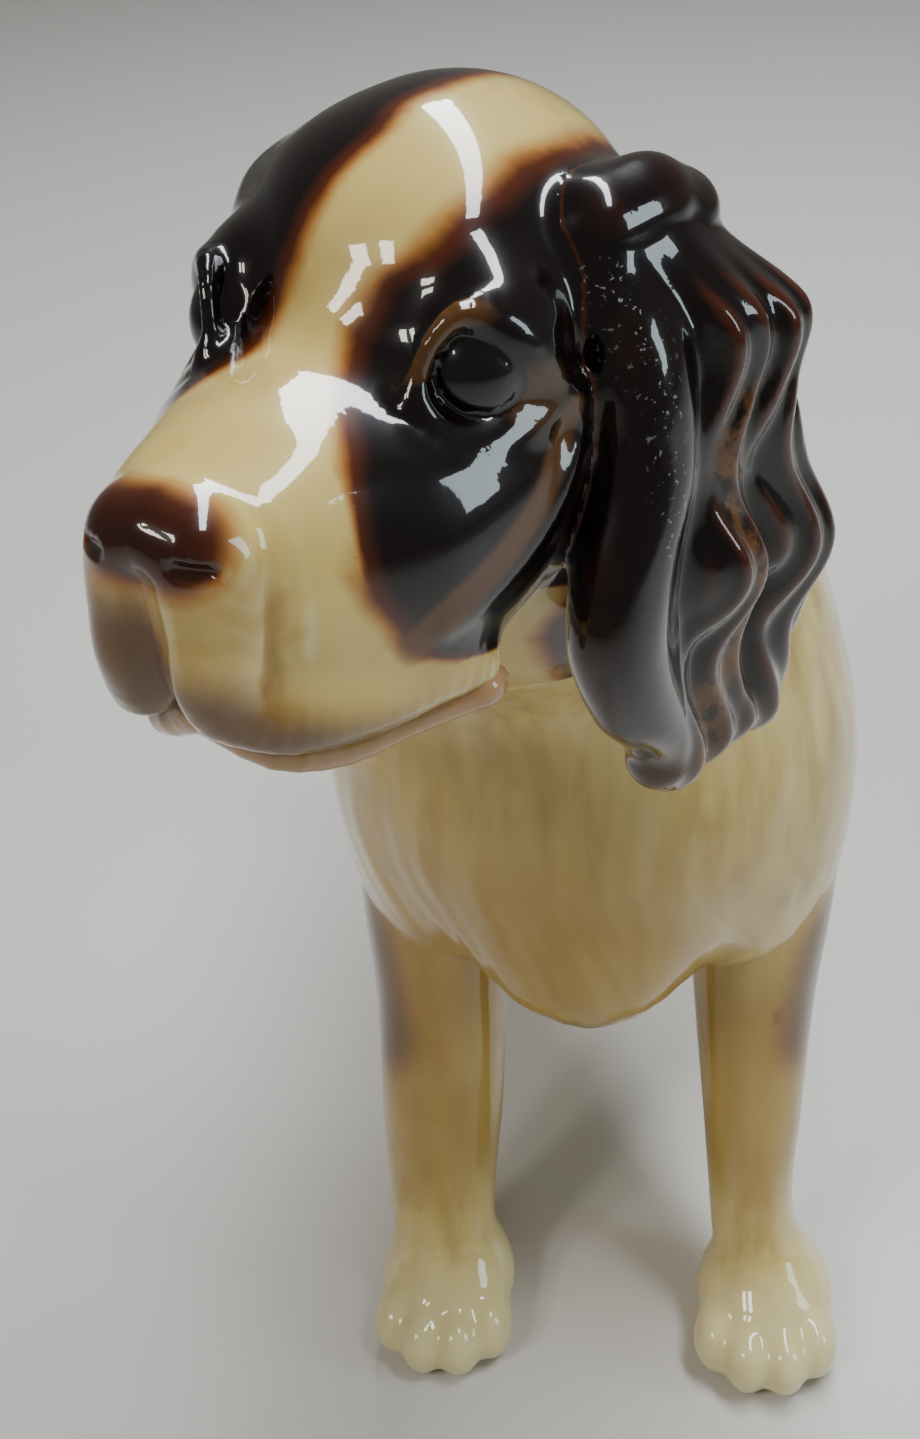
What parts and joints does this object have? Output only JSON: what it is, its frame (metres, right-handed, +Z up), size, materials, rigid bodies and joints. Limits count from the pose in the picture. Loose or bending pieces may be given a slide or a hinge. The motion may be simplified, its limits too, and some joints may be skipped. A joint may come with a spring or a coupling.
{
  "type": "porcelain dog figurine",
  "caption": "Glazed porcelain figurine of a standing long-eared spaniel with its head turned, hollow slip castings joined by tenons, rests on its flat paw soles.",
  "frame": {"origin": "middle of the bounding box, at the height of the paw soles", "axes": "+Z up, the dog's body faces -Y, +X to the dog's left"},
  "size_m": [0.0494, 0.1456, 0.1312],
  "materials": {
    "cream_glaze": "glossy clear glaze over ivory porcelain with airbrushed tan shading",
    "patched_glaze": "glossy clear glaze over ivory porcelain with airbrushed chocolate patches",
    "chocolate_glaze": "high-gloss dark chocolate glaze that breaks to tan on the ridges",
    "lip_glaze": "glossy clear glaze over pinkish tan"
  },
  "bodies": {
    "root": {"trunk_shell": "cream_glaze", "head_shell": "patched_glaze", "lower_jaw": "lip_glaze", "left_ear": "chocolate_glaze", "right_ear": "chocolate_glaze", "left_foreleg": "cream_glaze", "right_foreleg": "cream_glaze", "left_hindleg": "cream_glaze", "right_hindleg": "cream_glaze", "tail": "cream_glaze"}
  },
  "joints": []
}
